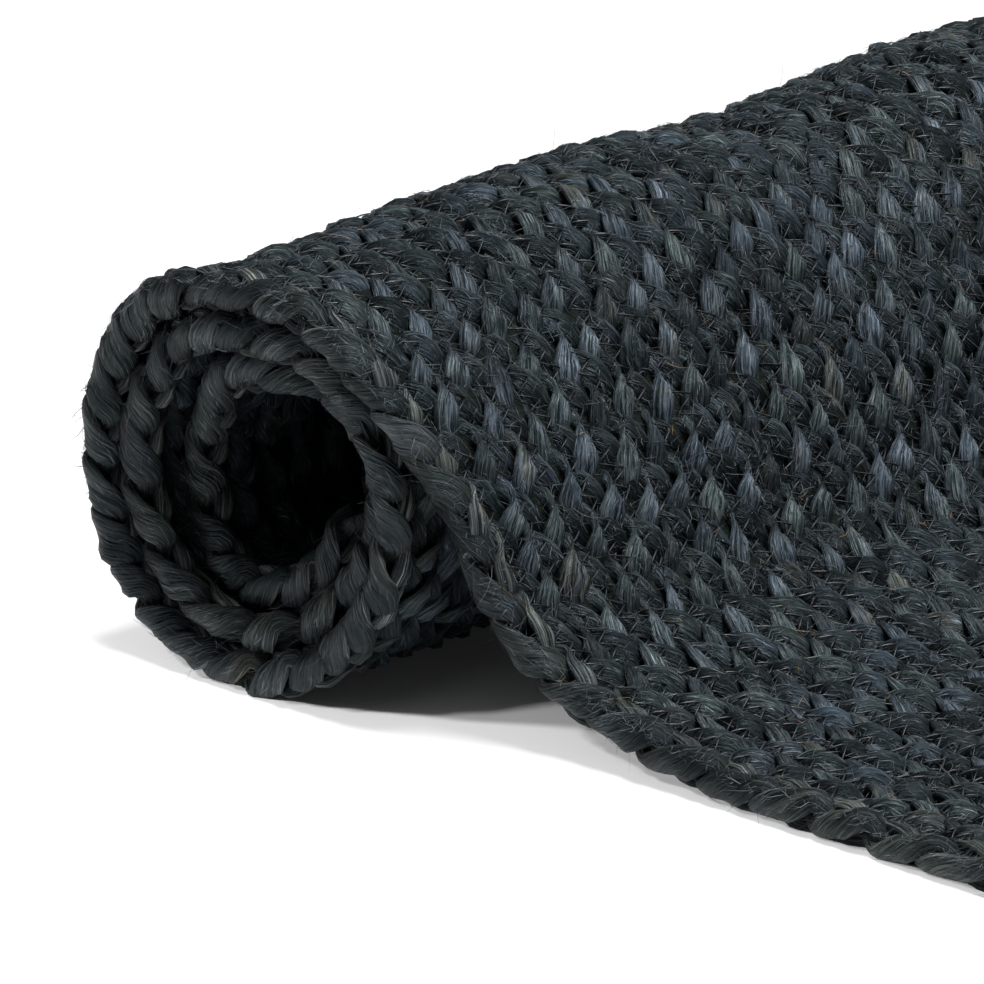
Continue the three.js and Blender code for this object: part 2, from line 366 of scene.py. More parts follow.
class Pile:
    """Many closed tubes gathered into one mesh, with their fibre coordinates and tints."""

    def __init__(self):
        self.points, self.quads, self.caps, self.around, self.tints = [], [], [], [], []
        self.count = 0

    def walls(self, rings, tints):
        """Adds rings and the quads between them; gives the numbers of their points and of the next."""
        index = self.count + np.arange(rings[..., 0].size).reshape(rings.shape[:3])
        following = np.roll(index, -1, axis=2)
        quads = np.stack([index[:, :-1], following[:, :-1], following[:, 1:], index[:, 1:]], -1)
        self.quads.append(quads.reshape(-1, 4))
        self.points.append(rings.reshape(-1, 3))
        points_each = rings.size // tints.size
        self.tints.append(np.repeat(tints, points_each, axis=-2).reshape(-1, 3))
        self.count += index.size
        return index, following

    def tubes(self, rings, along, tints):
        """rings: tubes, stations, sides, xyz. along: tubes, stations. tints: tubes, stations, xyz."""
        tubes, stations, sides, _ = rings.shape
        index, _ = self.walls(rings, tints)
        self.caps.append((sides, np.concatenate([index[:, 0, ::-1], index[:, -1]])))
        start = np.arange(sides) / sides
        shape = (tubes, stations - 1, sides)
        u = np.stack([np.broadcast_to(start, shape), np.broadcast_to(start + 1 / sides, shape)] * 2, -1)
        u = u[..., [0, 1, 3, 2]]
        low = np.broadcast_to(along[:, :-1, None], shape)
        high = np.broadcast_to(along[:, 1:, None], shape)
        v = np.stack([low, low, high, high], -1)
        self.around.append(np.stack([u, v], -1).reshape(-1, 2))

    def spikes(self, rings, tips, tints):
        """Pointed hairs. rings: hairs, stations, sides, xyz. tips and tints: hairs, xyz."""
        hairs, stations, sides, _ = rings.shape
        index, following = self.walls(rings, tints)
        ends = np.repeat(self.count + np.arange(hairs)[:, None], sides, axis=1)
        self.points.append(tips)
        self.tints.append(tints)
        self.count += hairs
        self.around.append(np.zeros((4 * hairs * (stations - 1) * sides, 2)))
        self.caps.append((sides, index[:, 0, ::-1]))
        self.caps.append((3, np.stack([index[:, -1], following[:, -1], ends], -1).reshape(-1, 3)))

    def build(self, name, material):
        points = np.concatenate(self.points)
        points[:, 2] = np.maximum(points[:, 2], 0.0)
        quads = np.concatenate(self.quads)
        loops = [quads.ravel()]
        sizes = [np.full(len(quads), 4)]
        uv = [np.concatenate(self.around)]
        for sides, caps in self.caps:
            loops.append(caps.ravel())
            sizes.append(np.full(len(caps), sides))
            uv.append(np.zeros((caps.size, 2)))
        loops = np.concatenate(loops)
        sizes = np.concatenate(sizes)
        mesh = bpy.data.meshes.new(name)
        mesh.vertices.add(len(points))
        mesh.vertices.foreach_set("co", points.astype(np.float32).ravel())
        mesh.loops.add(len(loops))
        mesh.loops.foreach_set("vertex_index", loops.astype(np.int32))
        mesh.polygons.add(len(sizes))
        starts = np.concatenate([[0], np.cumsum(sizes)[:-1]])
        mesh.polygons.foreach_set("loop_start", starts.astype(np.int32))
        mesh.polygons.foreach_set("use_smooth", np.ones(len(sizes), bool))
        mesh.update(calc_edges=True)
        layer = mesh.uv_layers.new(name="fibre")
        layer.data.foreach_set("uv", np.concatenate(uv).astype(np.float32).ravel())
        tint = mesh.attributes.new("tint", "FLOAT_VECTOR", "POINT")
        tint.data.foreach_set("vector", np.concatenate(self.tints).astype(np.float32).ravel())
        mesh.materials.append(material)
        piece = bpy.data.objects.new(name, mesh)
        bpy.context.scene.collection.objects.link(piece)
        return piece


def ring_points(centres, wide, high, half_wide, half_high, sides):
    """Oval rings round centres; wide and high are the oval's unit axes."""
    angle = TAU * (np.arange(sides) + 0.5) / sides - math.pi / 2
    across = (wide * half_wide[..., None])[..., None, :] * np.cos(angle)[:, None]
    up = (high * half_high[..., None])[..., None, :] * np.sin(angle)[:, None]
    return centres[..., None, :] + across + up


# How the strands of a braid run. sway, rise: how far they swing to the side and climb. width, high:
# their size. tip: share of the thickness left at the braid's side. taper: share of the width lost
# between leaves. tilt: how far the braid leans over the next row. shift: how far its crests lie to the
# side. belly: 2 where a strand is widest on its way across, 1 at the sides. flat: how much flatter the
# crests are. shade: painted shade on one half of each leaf, the near half where the sheet is steep and
# the far half where it lies flat, whose near half is painted lighter. dim: painted shade where a strand
# dips under the others at a crossing.
Plait = namedtuple("Plait", "sway rise width high tip taper tilt shift belly flat shade dim")

# How far chance moves each thing in a braid (metres, radians or shares)
SPREAD = {"row": 0.00022, "pace": 0.20, "lean": 0.05, "turn": 0.20, "sway": 0.07, "rise": 0.12,
          "height": 0.00042, "width": 0.16, "thickness": 0.06, "hue": 0.32, "tone": 0.55}
ROW_PITCH = 0.04
LEAN_PITCH = 0.05

# How much straighter than a sine a strand runs from side to side, and how blunt its leaves end
STRAIGHT = 0.09
BLUNT = 0.7

# A leaf's tone: its mean, and the share of it left at the ends, where painted shade (partly darker dye)
# falls as the leaf dips under its neighbours
MEAN_TONE = 0.54
SHADED_END_TONE = 0.45

# Where the sheet lies flat, against 1 where it is steep: tilt, side shift, and the painted light that
# makes the leaves lighter there
FLAT_TILT = -0.35
FLAT_SHIFT = -0.6
FLAT_PAINTED_LIGHT = 1.45

# How strongly painted shade works on a slope and on the flat, and how far before a crossing the
# painted shade on a strand is darkest
SLOPE_SHADE = 0.45
FLAT_SHADE = 2.2
DIM_LEAD = 0.45


def field_plait(sizes):
    return Plait(sway=sizes.sway, rise=sizes.rise, width=sizes.strand_width, high=sizes.strand_height,
                 tip=sizes.tip, taper=0.30, tilt=sizes.tilt, shift=-0.0014, belly=2, flat=0.0,
                 shade=0.28, dim=0.0)


def edge_plait(sizes):
    return Plait(sway=sizes.edge_sway, rise=1.3 * sizes.rise, width=sizes.edge_width,
                 high=sizes.edge_height, tip=0.7, taper=0.6, tilt=sizes.edge_tilt, shift=0.0, belly=1,
                 flat=0.25, shade=0.0, dim=0.55)


def end_plait(sizes):
    return field_plait(sizes)._replace(sway=0.00275, tilt=0.0, shift=0.0, shade=0.0, dim=0.3)


def by_slope(flat, steep):
    """1 where the sheet is steep, and the given share where it lies flat."""
    return flat + (1 - flat) * steep


def strand_way(turn, sway, rise, pace, plait):
    """Unit direction in which a strand runs."""
    across = sway * pace * (np.cos(turn) - 3 * STRAIGHT * np.cos(3 * turn))
    up = -2 * rise * pace * (np.cos(2 * turn) + 2 * plait.flat * np.cos(4 * turn))
    way = np.stack([np.ones_like(turn), across, up], -1)
    return way / np.linalg.norm(way, axis=-1)[:, None]


def strand_facing(turn, way, sway, rise, plait):
    """Unit direction in which a strand's flat side faces: out of the braid's own oval."""
    half_width = 0.5 * (2 * plait.sway + plait.high)
    half_height = plait.rise + 0.5 * plait.high
    outward = sway * (1 - STRAIGHT * (3 - 4 * np.sin(turn) ** 2)) / half_width**2
    upward = -2 * rise * np.cos(turn) / half_height**2
    facing = np.stack([np.zeros_like(turn), outward, upward], -1)
    facing -= way * (facing * way).sum(-1)[:, None]
    return facing / np.linalg.norm(facing, axis=-1)[:, None]


def leaned(side, height, lean):
    """A point or direction turned by the braid's lean, given as cosine and sine."""
    return side * lean[0] - height * lean[1], side * lean[1] + height * lean[0]


def painted_leaf_light_and_shade(turn, crest, steep, plait):
    """Painted light and shade on a leaf: shade at its ends, on one half and where it dips under, and
    light where the sheet lies flat.
    """
    near, far = np.clip(-2 * np.sin(turn), 0, 1), np.clip(2 * np.sin(turn), 0, 1)
    shaded = SLOPE_SHADE * steep * near + FLAT_SHADE * (1 - steep) * (far - near)
    dip = 1 - np.sin(turn + DIM_LEAD) ** 2
    light = (SHADED_END_TONE + (1 - SHADED_END_TONE) * crest) * (1 - plait.shade * shaded) * (1 - plait.dim * dip)
    return light * by_slope(FLAT_PAINTED_LIGHT, steep)


def braid(pile, sizes, place_frame, along, sides, chance, plait, steep, swing=None):
    """Plaits three strands; place_frame gives centre and axes at (sideways, along, height)."""

    def drift(kind, pitch):
        return wander(chance, along, pitch, SPREAD[kind])

    period = 3 * sizes.leaf_pitch * chance.uniform(0.96, 1.04)
    leaf = period / 3
    start = chance.uniform(0, TAU)
    row_drift = drift("row", ROW_PITCH)
    swing = (TAU * along / period if swing is None else swing) + start
    swing = swing + drift("pace", period * 0.7)
    tilt = plait.tilt * by_slope(FLAT_TILT, steep) + drift("lean", LEAN_PITCH)
    lean = (np.cos(tilt), np.sin(tilt))
    rings, tints = [], []
    for strand in range(3):
        turn = swing + TAU * strand / 3 + drift("turn", leaf)
        sway = plait.sway * (1 + drift("sway", leaf))
        rise = plait.rise * (1 + drift("rise", leaf))
        side = sway * (np.sin(turn) - STRAIGHT * np.sin(3 * turn)) + row_drift
        side = side + plait.shift * by_slope(FLAT_SHIFT, steep) * np.cos(turn) ** 2
        height = -rise * (np.sin(2 * turn) + plait.flat * np.sin(4 * turn)) + drift("height", leaf)
        side, height = leaned(side, height, lean)
        way = strand_way(turn, sway, rise, TAU / period, plait)
        facing = strand_facing(turn, way, sway, rise, plait)
        wide = np.cross(facing, way)
        for axis in (facing, wide):
            axis[:, 1:] = np.stack(leaned(axis[:, 1], axis[:, 2], lean), -1)
        crest = np.abs(np.sin(plait.belly * turn))
        half_wide = 0.5 * plait.width * (1 - plait.taper + plait.taper * crest**BLUNT)
        half_wide = half_wide * (1 + drift("width", leaf))
        half_high = 0.5 * plait.high * (plait.tip + (1 - plait.tip) * np.abs(np.cos(turn)) ** BLUNT)
        half_high = half_high * (0.92 + 0.14 * crest) * (1 + drift("thickness", period / 6))
        centre, axes = place_frame(side, along, height)
        wide, facing = (np.einsum("ni,nij->nj", axis, axes) for axis in (wide, facing))
        rings.append(ring_points(centre, wide, facing, half_wide, half_high, sides))
        hue = np.clip(chance.normal(0.4, 0.2) + drift("hue", period), 0, 1)
        # The tone is random, times the painted light and shade of the leaf
        tone = np.clip(MEAN_TONE + drift("tone", leaf), 0, 1) * painted_leaf_light_and_shade(turn, crest, steep, plait)
        tints.append(np.stack([hue, tone, np.full_like(hue, chance.uniform(0, 1))], -1))
    pile.tubes(np.stack(rings), np.broadcast_to(along, (3, len(along))), np.stack(tints))


def braid_frame(sheet, start, crosswise=False):
    """Places a braid that runs along the rug start from its edge, or across it start from its end."""

    def place_frame(sideways, along, height):
        if crosswise:
            middle, run, out = sheet.at(along, start - sideways)
            axes = (cross_way(run), -run, out)
        else:
            middle, run, out = sheet.at(start + sideways, along)
            axes = (run, cross_way(run), out)
        return middle + out * height[:, None], np.stack(axes, 1)

    return place_frame


def stations(spans):
    """Positions along a row from spans of (start, end, step)."""
    parts = []
    for start, end, step in spans:
        if end - start > 1e-6:
            count = max(1, round((end - start) / step))
            parts.append(np.linspace(start, end, count, endpoint=False))
    return np.concatenate(parts + [np.array([spans[-1][1]])])


def pieces_named(context, *starts):
    """The meshes made so far whose names start so."""
    return [o for o in context.scene.objects if o.type == "MESH" and o.name.startswith(starts)]


class BraidSurface:
    """The faces of the braids made so far, for finding what lies on them."""

    def __init__(self, context):
        graph = context.evaluated_depsgraph_get()
        self.trees = [BVHTree.FromObject(piece, graph) for piece in pieces_named(context, "braid_")]

    def touch(self, starts, ways, reach):
        """How far each ray runs before it meets a braid; reach where it meets none."""
        found = np.full(len(starts), reach)
        for i, (start, way) in enumerate(zip(starts, ways)):
            start, way = Vector(start), Vector(way)
            for tree in self.trees:
                distance = tree.ray_cast(start, way, reach)[3]
                if distance is not None:
                    found[i] = min(found[i], distance)
        return found

    def height(self, middle, out, reach=0.0065, least=0.0015):
        """Height of the outermost braid over each middle point of the sheet, and no less than least."""
        starts, ways = middle.reshape(-1, 3), out.reshape(-1, 3)
        gap = self.touch(starts + ways * reach, -ways, reach)
        return np.maximum(least, reach - gap).reshape(middle.shape[:-1])


# ---------------------------------------------------------------- finishes

WIDE_SOCKETS = {"VECTOR", "RGBA"}

# How far the fibres turn round a strand in a metre, how far apart two strands' noises lie, a strand's
# girth (millimetres), and the angles at which stray fibres cross it
TWIST = 7.0
STRAND_SHIFT = 61.0
STRAND_GIRTH = 16.0
STRAY_TURNS = (0.25, -0.35)

# Tints of the pale fibres, partly a painted sheen, in green, blue and brown strands, and of the
# shader's own sheen
GREEN_TINT = (0.98, 1.01, 0.96)
BLUE_TINT = (1.0, 1.0, 1.08)
BROWN_TINT = (1.08, 1.00, 0.86)
SHEEN = (0.74, 1.0, 1.12)


class Value:
    """A shader socket that takes part in arithmetic; nodes are added as it is used."""

    def __init__(self, tree, socket):
        self.tree = tree
        self.socket = socket

    @classmethod
    def node(cls, tree, kind, settings=None, inputs=None, output=0):
        made = tree.nodes.new(kind)
        for name, setting in (settings or {}).items():
            setattr(made, name, setting)
        for name, given in (inputs or {}).items():
            plug(tree, made.inputs[name], given)
        return cls(tree, made.outputs[output])

    def _combine(self, operation, first, second):
        wide = any(v.socket.type in WIDE_SOCKETS if isinstance(v, Value) else hasattr(v, "__len__")
                   for v in (first, second))
        kind = "ShaderNodeVectorMath" if wide else "ShaderNodeMath"
        return Value.node(self.tree, kind, {"operation": operation}, {0: first, 1: second})

    def __add__(self, other):
        return self._combine("ADD", self, other)

    def __sub__(self, other):
        return self._combine("SUBTRACT", self, other)

    def __rsub__(self, other):
        return self._combine("SUBTRACT", other, self)

    def __mul__(self, other):
        return self._combine("MULTIPLY", self, other)

    def from_to(self, low, high):
        """low where this is 0, high where it is 1."""
        return self * (high - low) + low

    def between(self, low, high):
        """0 below low, 1 above high, smooth in between."""
        return Value.node(self.tree, "ShaderNodeMapRange", {"interpolation_type": "SMOOTHSTEP"},
                          {"Value": self, "From Min": low, "From Max": high})

    def at_most(self, most):
        return self._combine("MINIMUM", self, most)

    def part(self, index):
        return Value.node(self.tree, "ShaderNodeSeparateXYZ", inputs={0: self}, output=index)

    def mix(self, first, second):
        """first where this is 0, second where it is 1."""
        return Value.node(self.tree, "ShaderNodeMix", {"data_type": "RGBA"},
                          {0: self, 6: first, 7: second}, output=2)


def plug(tree, socket, given):
    """Links a socket, or sets it; one number fills a wide socket, and a colour needs no fourth one."""
    if isinstance(given, Value):
        tree.links.new(given.socket, socket)
    elif isinstance(given, (int, float)) and socket.type in WIDE_SOCKETS:
        socket.default_value = [given] * len(socket.default_value)
    elif hasattr(given, "__len__") and socket.type == "RGBA" and len(given) == 3:
        socket.default_value = [*given, 1.0]
    else:
        socket.default_value = given


def noise(tree, place, detail=2.0, roughness=0.5):
    return Value.node(tree, "ShaderNodeTexNoise", {"noise_dimensions": "3D"},
                      {"Vector": place, "Scale": 1.0, "Detail": detail, "Roughness": roughness})


def bump(tree, height, strength, distance):
    return Value.node(tree, "ShaderNodeBump",
                      inputs={"Strength": strength, "Distance": distance, "Height": height})


def strand_place(tree):
    """Shares round a strand and metres along it."""
    place = Value.node(tree, "ShaderNodeUVMap", {"uv_map": "fibre"})
    return place.part(0), place.part(1)


def strand_tint(tree):
    """The three tints that each strand or fibre was made with; on braids the second, the tone, carries
    painted light and shade.
    """
    tint = Value.node(tree, "ShaderNodeAttribute", {"attribute_name": "tint"}, output=1)
    return tint.part(0), tint.part(1), tint.part(2)


def vector(tree, x, y, z):
    return Value.node(tree, "ShaderNodeCombineXYZ", inputs={0: x, 1: y, 2: z})


def new_material(name):
    material = bpy.data.materials.new(name)
    material.use_nodes = True
    tree = material.node_tree
    shader = next(n for n in tree.nodes if n.type == "BSDF_PRINCIPLED")
    return material, tree, shader


def feed(tree, shader, **values):
    """Links or sets the shader's sockets, named with underscores for spaces."""
    for name, given in values.items():
        plug(tree, shader.inputs[name.replace("_", " ")], given)


def jute_material(name, colours, fibres_round, dye=(1.0, 1.0, 1.0), sheen_gain=1.0, metal=0.5, broken=1.0):
    """Dyed jute: fibres lie along each strand, with tints that change from strand to strand.

    fibres_round is how fine the fibres are and broken how short their streaks are. The pale fibres are
    partly paler fibre and partly a painted sheen; the gain sets how strongly they show and metal how
    metallic they are.
    """
    material, tree, shader = new_material(name)
    around, along = strand_place(tree)
    hue, tone, strand = strand_tint(tree)
    twisted = around + along * TWIST
    shift = strand * STRAND_SHIFT

    def grain(turned, per_round, per_metre, offset, detail, roughness):
        """Noise drawn out along the strand, other noise in each strand."""
        place = vector(tree, turned * per_round, along * per_metre, shift + offset)
        return noise(tree, place, detail, roughness)

    bundles = grain(twisted, 0.45 * fibres_round, 70.0 * broken, 0.0, 3.0, 0.7).between(0.33, 0.67)
    fibres = grain(twisted, 1.7 * fibres_round, 130.0 * broken, 9.0, 3.0, 0.6).between(0.36, 0.68)
    gaps = grain(twisted, 1.1 * fibres_round, 80.0 * broken, 30.0, 2.0, 0.5).between(0.36, 0.50)
    patches = grain(around, 2.0, 70.0, 21.0, 2.0, 0.5)
    clouds = grain(around, 3.0, 110.0, 40.0, 2.0, 0.6)
    # Painted shade on the sides of each strand, against its lighter crest
    painted_crest_light = (around * (1.0 - around) * 4.0).between(0.66, 0.93)

    taken = hue + (clouds - 0.5) * 1.3
    blue, brown = taken.between(0.02, 0.58), taken.between(0.79, 1.02)
    dyed = (brown * 0.85).mix(blue.mix(colours.green, colours.blue), colours.brown)
    # Pale fibres, partly paler fibre and partly a painted sheen; their share follows the tone's painted
    # light and shade
    pale_and_sheen_colour = brown.mix(blue.mix(GREEN_TINT, BLUE_TINT), BROWN_TINT) * colours.pale
    # The tone brings painted light and shade into the dyed colour and the pale share, and the crest
    # mask painted shade on the strand's sides
    dyed = dyed * (tone.from_to(0.15, 1.65) * bundles.from_to(0.40, 1.25) * patches.from_to(0.4, 1.6)
                   * gaps.from_to(0.35, 1.0) * painted_crest_light.from_to(0.30, 1.10))
    pale_and_sheen_share = (tone.from_to(0.16, 0.96) * patches.from_to(0.3, 1.7) * bundles.from_to(0.65, 1.0)
             * painted_crest_light.from_to(0.15, 1.15))
    pale = fibres * gaps * (pale_and_sheen_share * sheen_gain).at_most(1.1)
    colour = pale.mix(dyed, pale_and_sheen_colour) * dye
    for turn in STRAY_TURNS:
        sine, cosine = math.sin(turn), math.cos(turn)
        across_stray = around * (STRAND_GIRTH * cosine) + along * (sine / MM)
        along_stray = along * (cosine / MM) - around * (STRAND_GIRTH * sine)
        place = vector(tree, across_stray * 4.0, along_stray * 0.28, shift + 50.0 * turn)
        strays = noise(tree, place, 1.0).between(0.65, 0.74) * tone.from_to(0.10, 0.50)
        colour = strays.mix(colour, colours.pale)
    relief = bundles * 0.2 + fibres * 0.3 + gaps * 0.3
    feed(tree, shader, Base_Color=colour, Metallic=pale * metal, Roughness=bundles.from_to(0.40, 0.55),
         Normal=bump(tree, relief, 1.0, 0.0008), Specular_IOR_Level=0.25, Specular_Tint=SHEEN)
    return material


def thread_material(colours):
    material, tree, shader = new_material("sewing_thread")
    around, along = strand_place(tree)
    ply = noise(tree, vector(tree, around * 3.0 + along * 2500.0, along * 90.0, 0.0))
    # Lighter and darker stretches at random along the thread
    patchy = noise(tree, vector(tree, along * 300.0, 0.0, 0.0)).between(0.40, 0.60)
    colour = ply.from_to(0.75, 1.25) * patchy.from_to(0.15, 1.25) * colours.thread
    feed(tree, shader, Base_Color=colour, Roughness=0.38, Normal=bump(tree, ply, 0.4, 0.0001),
         Specular_IOR_Level=0.35)
    return material


def hair_material(colours):
    """Loose fibres, with a few undyed ones among them."""
    material, tree, shader = new_material("loose_fibre")
    kind, tone, _ = strand_tint(tree)
    dyed = (tone * 0.6).mix(colours.blue, colours.pale)
    feed(tree, shader, Base_Color=kind.between(0.990, 0.993).mix(dyed, colours.straw), Roughness=0.45)
    return material


def core_material(colours):
    """The shaded fibres deep between the braids."""
    material, tree, shader = new_material("packed_fibre")
    place = Value.node(tree, "ShaderNodeTexCoord", output=3)
    strands = noise(tree, place * (900.0, 900.0, 900.0), 3.0, 0.7)
    feed(tree, shader, Base_Color=strands.from_to(0.1, 1.0) * colours.green, Roughness=0.8,
         Normal=bump(tree, strands, 1.0, 0.001), Specular_IOR_Level=0.15)
    return material


def floor_material(colours):
    material, tree, shader = new_material("pale_floor")
    feed(tree, shader, Base_Color=colours.floor, Roughness=0.9, Specular_IOR_Level=0.1)
    return material


# ---------------------------------------------------------------- pieces


def settle(piece, node):
    """Makes the piece ride on the rug's body and stand for one of its solids."""
    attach(piece, "root")
    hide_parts(node)


def row_spans(sheet, row, rows):
    """How finely a row is divided: most where it is seen from close by, least where it is wound in."""
    exposed = sheet.top - HIDDEN_BEFORE
    near_start = sheet.top - CLOSE_BEFORE
    near_end = sheet.seen_to((row + 0.5) * sheet.pitch)
    if row == 0:
        return list(zip((0, exposed, near_end), (exposed, near_end, sheet.length), EDGE_STEPS))
    beside_edges = {1: 0.0028, 2: 0.0035, rows - 2: 0.0035, rows - 1: 0.0026}
    inner = beside_edges.get(row, HIDDEN_STEP)
    outer = NEAR_ROW_STEP if row < CLOSE_ROWS else FAR_ROW_STEP
    if near_end <= sheet.top:
        return [(0, exposed, inner), (exposed, sheet.length, outer)]
    return [(0, exposed, inner), (exposed, near_start, outer), (near_start, near_end, CLOSE_STEP),
            (near_end, sheet.length, outer)]


def plait_row(pile, sizes, sheet, row, sides, plait):
    """One braid along the rug; the front edge's leaves follow their own table."""
    chance = np.random.default_rng(sizes.seed + row)
    along = stations(row_spans(sheet, row, sizes.rows))
    swing = sheet.edge_swing(along) if row == 0 else None
    place_frame = braid_frame(sheet, (row + 0.5) * sheet.pitch)
    braid(pile, sizes, place_frame, along, sides, chance, plait, sheet.steepness(along), swing)


def wide_way(centre, out):
    """Unit axis across each line of middle points that lies along the sheet."""
    way = centre[:, -1] - centre[:, 0]
    way /= np.linalg.norm(way, axis=-1)[:, None]
    return np.cross(out, way[:, None])


def add_hairs(pile, chance, centre, wide, high, half, most, tint=1.0):
    """Pointed hairs round lines of middle points; chance sets how thick they are and their tints."""
    half = half * chance.uniform(0.6, most, (len(centre), 1))
    rings = ring_points(centre, wide, high, half, half, HAIR_SIDES)
    pile.spikes(rings[:, :-1], centre[:, -1], chance.uniform(0, 1, (len(centre), 3)) * tint)


def parts_of(context):
    """The rug's sizes, its rolled sheet and its colours."""
    sizes = context.scene.rug_sizes
    return sizes, RugSheet(sizes), context.scene.rug_colours


class RUG_OT_edge_braids(bpy.types.Operator):
    """Plait the two braids along the long edges"""

    bl_idname = "rug.edge_braids"
    bl_label = "Edge braids"

    def execute(self, context):
        sizes, sheet, colours = parts_of(context)
        # The edge's pale fibres carry the strongest painted sheen
        material = jute_material("jute_edge", colours, fibres_round=23.0, dye=(1.08, 0.98, 0.84),
                                 sheen_gain=2.4, metal=0.8)
        for name, row, sides in (("front", 0, 14), ("back", sizes.rows - 1, 8)):
            pile = Pile()
            plait_row(pile, sizes, sheet, row, sides, edge_plait(sizes))
            settle(pile.build(f"braid_edge_{name}", material), f"edge_braid_{name}")
        return {"FINISHED"}


class RUG_OT_field_rows(bpy.types.Operator):
    """Plait the rows of the field, in strips that lie side by side"""

    bl_idname = "rug.field_rows"
    bl_label = "Field rows"

    def execute(self, context):
        sizes, sheet, colours = parts_of(context)
        material = jute_material("jute_field", colours, fibres_round=30.0, broken=2.2)
        bounds = (1, 9, 18, 30, 47, sizes.rows - 1)
        for number, (first, past) in enumerate(zip(bounds, bounds[1:]), 1):
            pile = Pile()
            for row in range(first, past):
                seen = sheet.seen_to((row + 0.5) * sheet.pitch) > sheet.top + 0.004
                plait_row(pile, sizes, sheet, row, 8 if seen else 5, field_plait(sizes))
            settle(pile.build(f"braid_rows_{number}", material), "braided_field")
        return {"FINISHED"}


class RUG_OT_end_braids(bpy.types.Operator):
    """Plait the braids sewn across the two short ends"""

    bl_idname = "rug.end_braids"
    bl_label = "End braids"

    def execute(self, context):
        sizes, sheet, colours = parts_of(context)
        pitch = sheet.pitch
        material = bpy.data.materials["jute_edge"]
        for name, middle, seed, step in (("inner", pitch / 2, 201, 0.0026),
                                         ("outer", sizes.length - pitch / 2, 202, 0.0022)):
            pile = Pile()
            chance = np.random.default_rng(sizes.seed + seed)
            across = stations([(pitch, sizes.width - pitch, step)])
            place_frame = braid_frame(sheet, middle, crosswise=True)
            braid(pile, sizes, place_frame, across, 8, chance, end_plait(sizes), steep=1.0)
            settle(pile.build(f"braid_end_{name}", material), f"end_braid_{name}")
        return {"FINISHED"}


def sew(pile, sizes, sheet, surface, chance, across, along, points):
    """One zigzag seam, each leg a short tube over the braids; of two-point legs only every other."""
    along = along + chance.normal(0, 0.00018, len(along))
    side = sizes.stitch_reach * np.where(np.arange(len(along)) % 2, 1.0, -1.0)
    side = side * (1 + chance.normal(0, 0.12, len(along))) + wander(chance, along, ROW_PITCH, 0.0004)
    share = np.linspace(0, 1, points)
    every = slice(None, None, 2 if points == 2 else 1)
    leg_along = (along[:-1, None] + np.diff(along)[:, None] * share)[every]
    leg_side = (side[:-1, None] + np.diff(side)[:, None] * share)[every]
    middle, _, out = sheet.at(across + leg_side, leg_along)
    height = surface.height(middle, out)
    taut = height[:, :1] * (1 - share) + height[:, -1:] * share
    height = np.maximum(height, taut)
    height[:, [0, -1]] -= STITCH_SINK
    centre = middle + out * (height + sizes.thread * SUNK)[..., None]
    half = np.full(leg_side.shape, sizes.thread / 2)
    rings = ring_points(centre, wide_way(centre, out), out, half, half, HAIR_SIDES)
    pile.tubes(rings, leg_along, np.zeros((*leg_side.shape, 3)))


class RUG_OT_seams(bpy.types.Operator):
    """Sew the zigzag thread over every seam that shows from above"""

    bl_idname = "rug.seams"
    bl_label = "Seams"

    def execute(self, context):
        sizes, sheet, colours = parts_of(context)
        chance = np.random.default_rng(sizes.seed + 301)
        material = thread_material(colours)
        surface = BraidSurface(context)
        first_far = CLOSE_ROWS + 1
        for name, first, past, points in (("near", 1, first_far, 4), ("far", first_far, sizes.rows, 2)):
            pile = Pile()
            for seam in range(first, past):
                across = seam * sheet.pitch
                if name == "near":
                    start, end = sheet.top - SEAM_START, sheet.seen_to(across)
                else:
                    start, end = sheet.top - FAR_START, sizes.length - sheet.pitch
                along = np.arange(start, end, sizes.stitch_pitch / 2)
                sew(pile, sizes, sheet, surface, chance, across, along, points)
            settle(pile.build(f"seam_thread_{name}", material), "braided_field")
        return {"FINISHED"}


